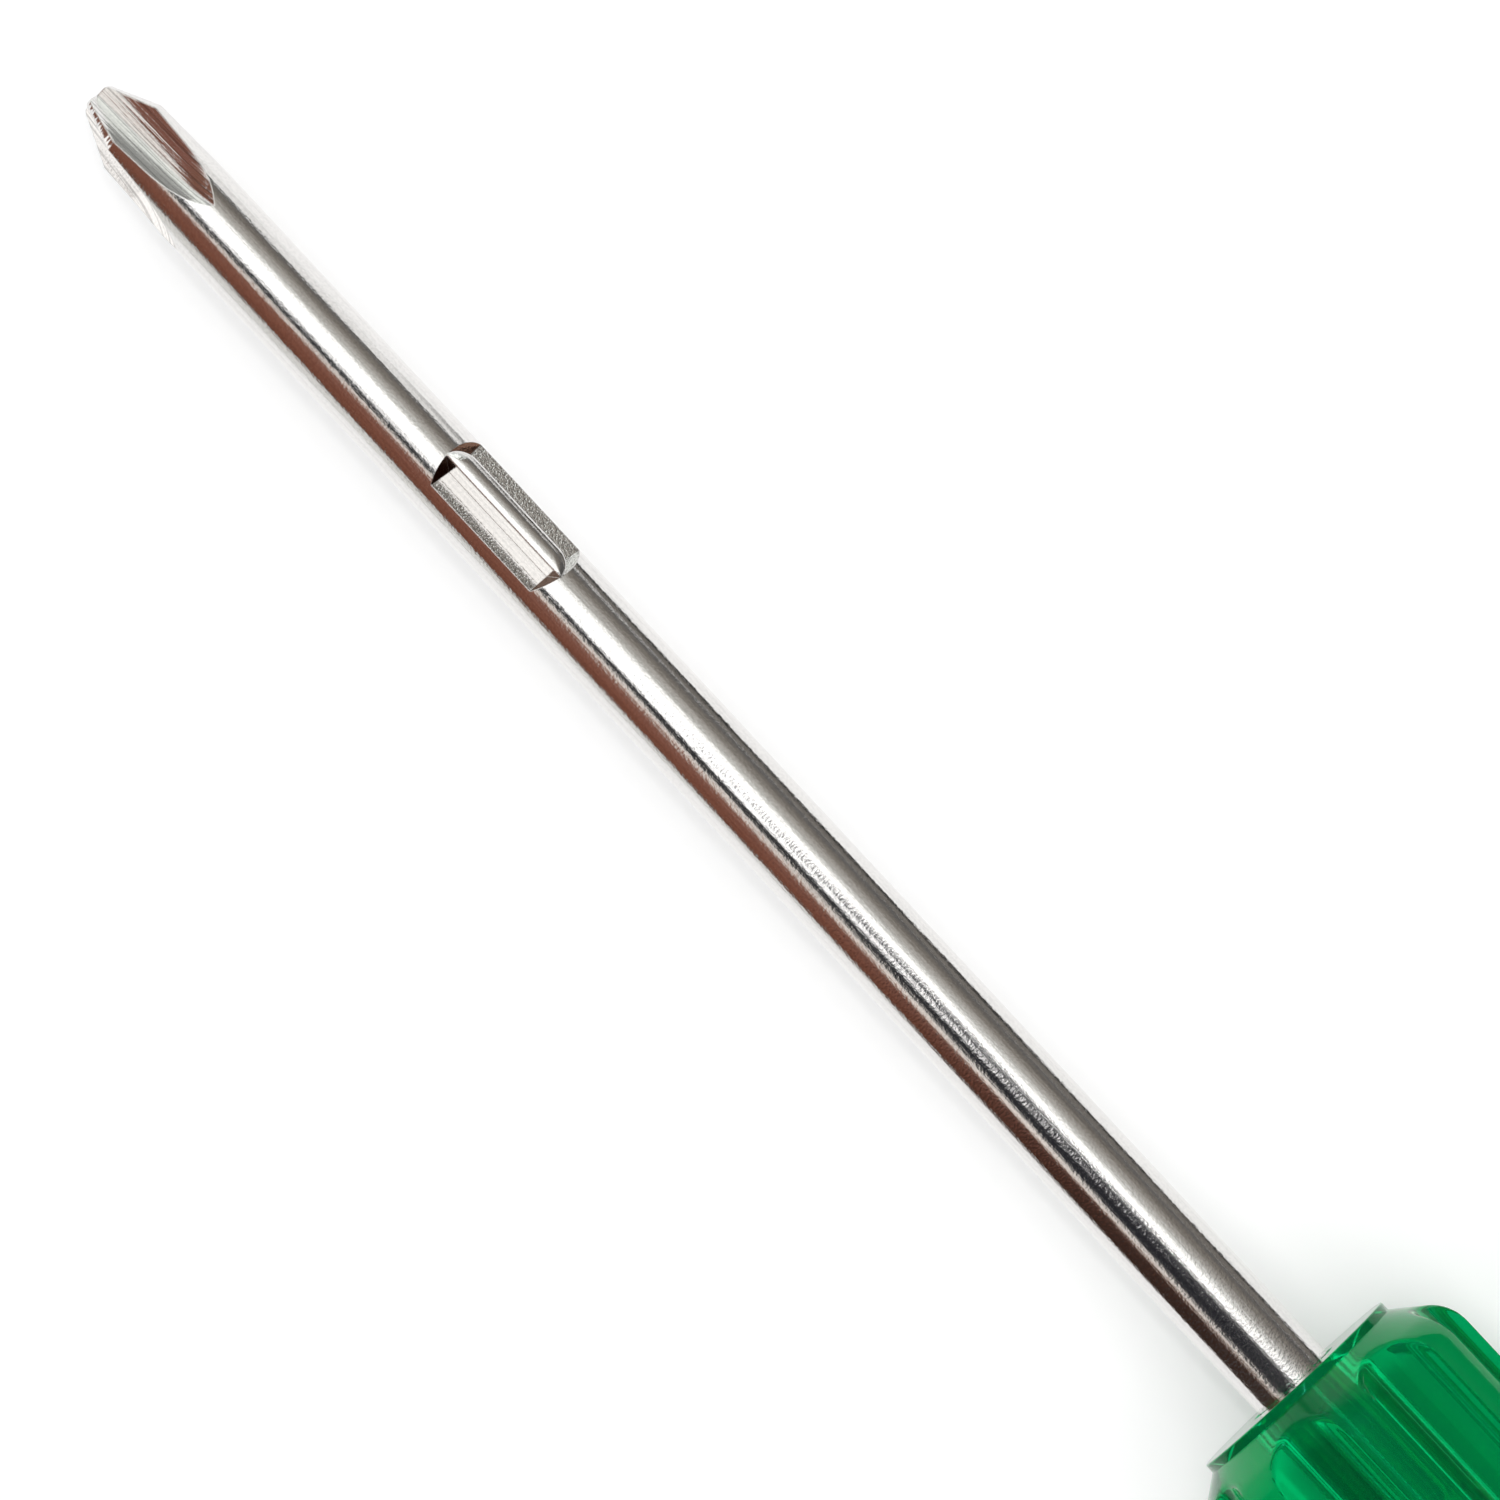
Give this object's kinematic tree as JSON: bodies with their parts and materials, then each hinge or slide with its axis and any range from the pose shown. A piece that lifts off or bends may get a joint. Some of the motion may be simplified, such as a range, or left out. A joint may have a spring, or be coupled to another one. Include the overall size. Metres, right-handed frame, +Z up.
{
  "type": "two-in-one screwdriver",
  "caption": "Screwdriver with a reversible round blade, cross tip on one end and flat tip on the other, keyed by pressed ears in a fluted see-through handle.",
  "frame": {"origin": "centre of the cross tip's flat end face, on the blade's axis", "axes": "+X along the blade and out of the cross tip, +Z up as the handle lies on a flat surface with one flute straight down"},
  "size_m": [0.21, 0.0212, 0.0212],
  "materials": {
    "plated_steel": "bright nickel-chrome plate with fine drawing marks",
    "green_acetate": "clear green moulded acetate, glossy",
    "spring_steel": "plain spring wire"
  },
  "bodies": {
    "handle": {"handle": "green_acetate", "retaining_ring": "spring_steel"},
    "blade": {"blade": "plated_steel"}
  },
  "joints": [
    {"name": "blade_pull", "type": "slide", "parent": "handle", "child": "blade", "axis": [1, 0, 0], "range_m": [0, 0.06]}
  ]
}
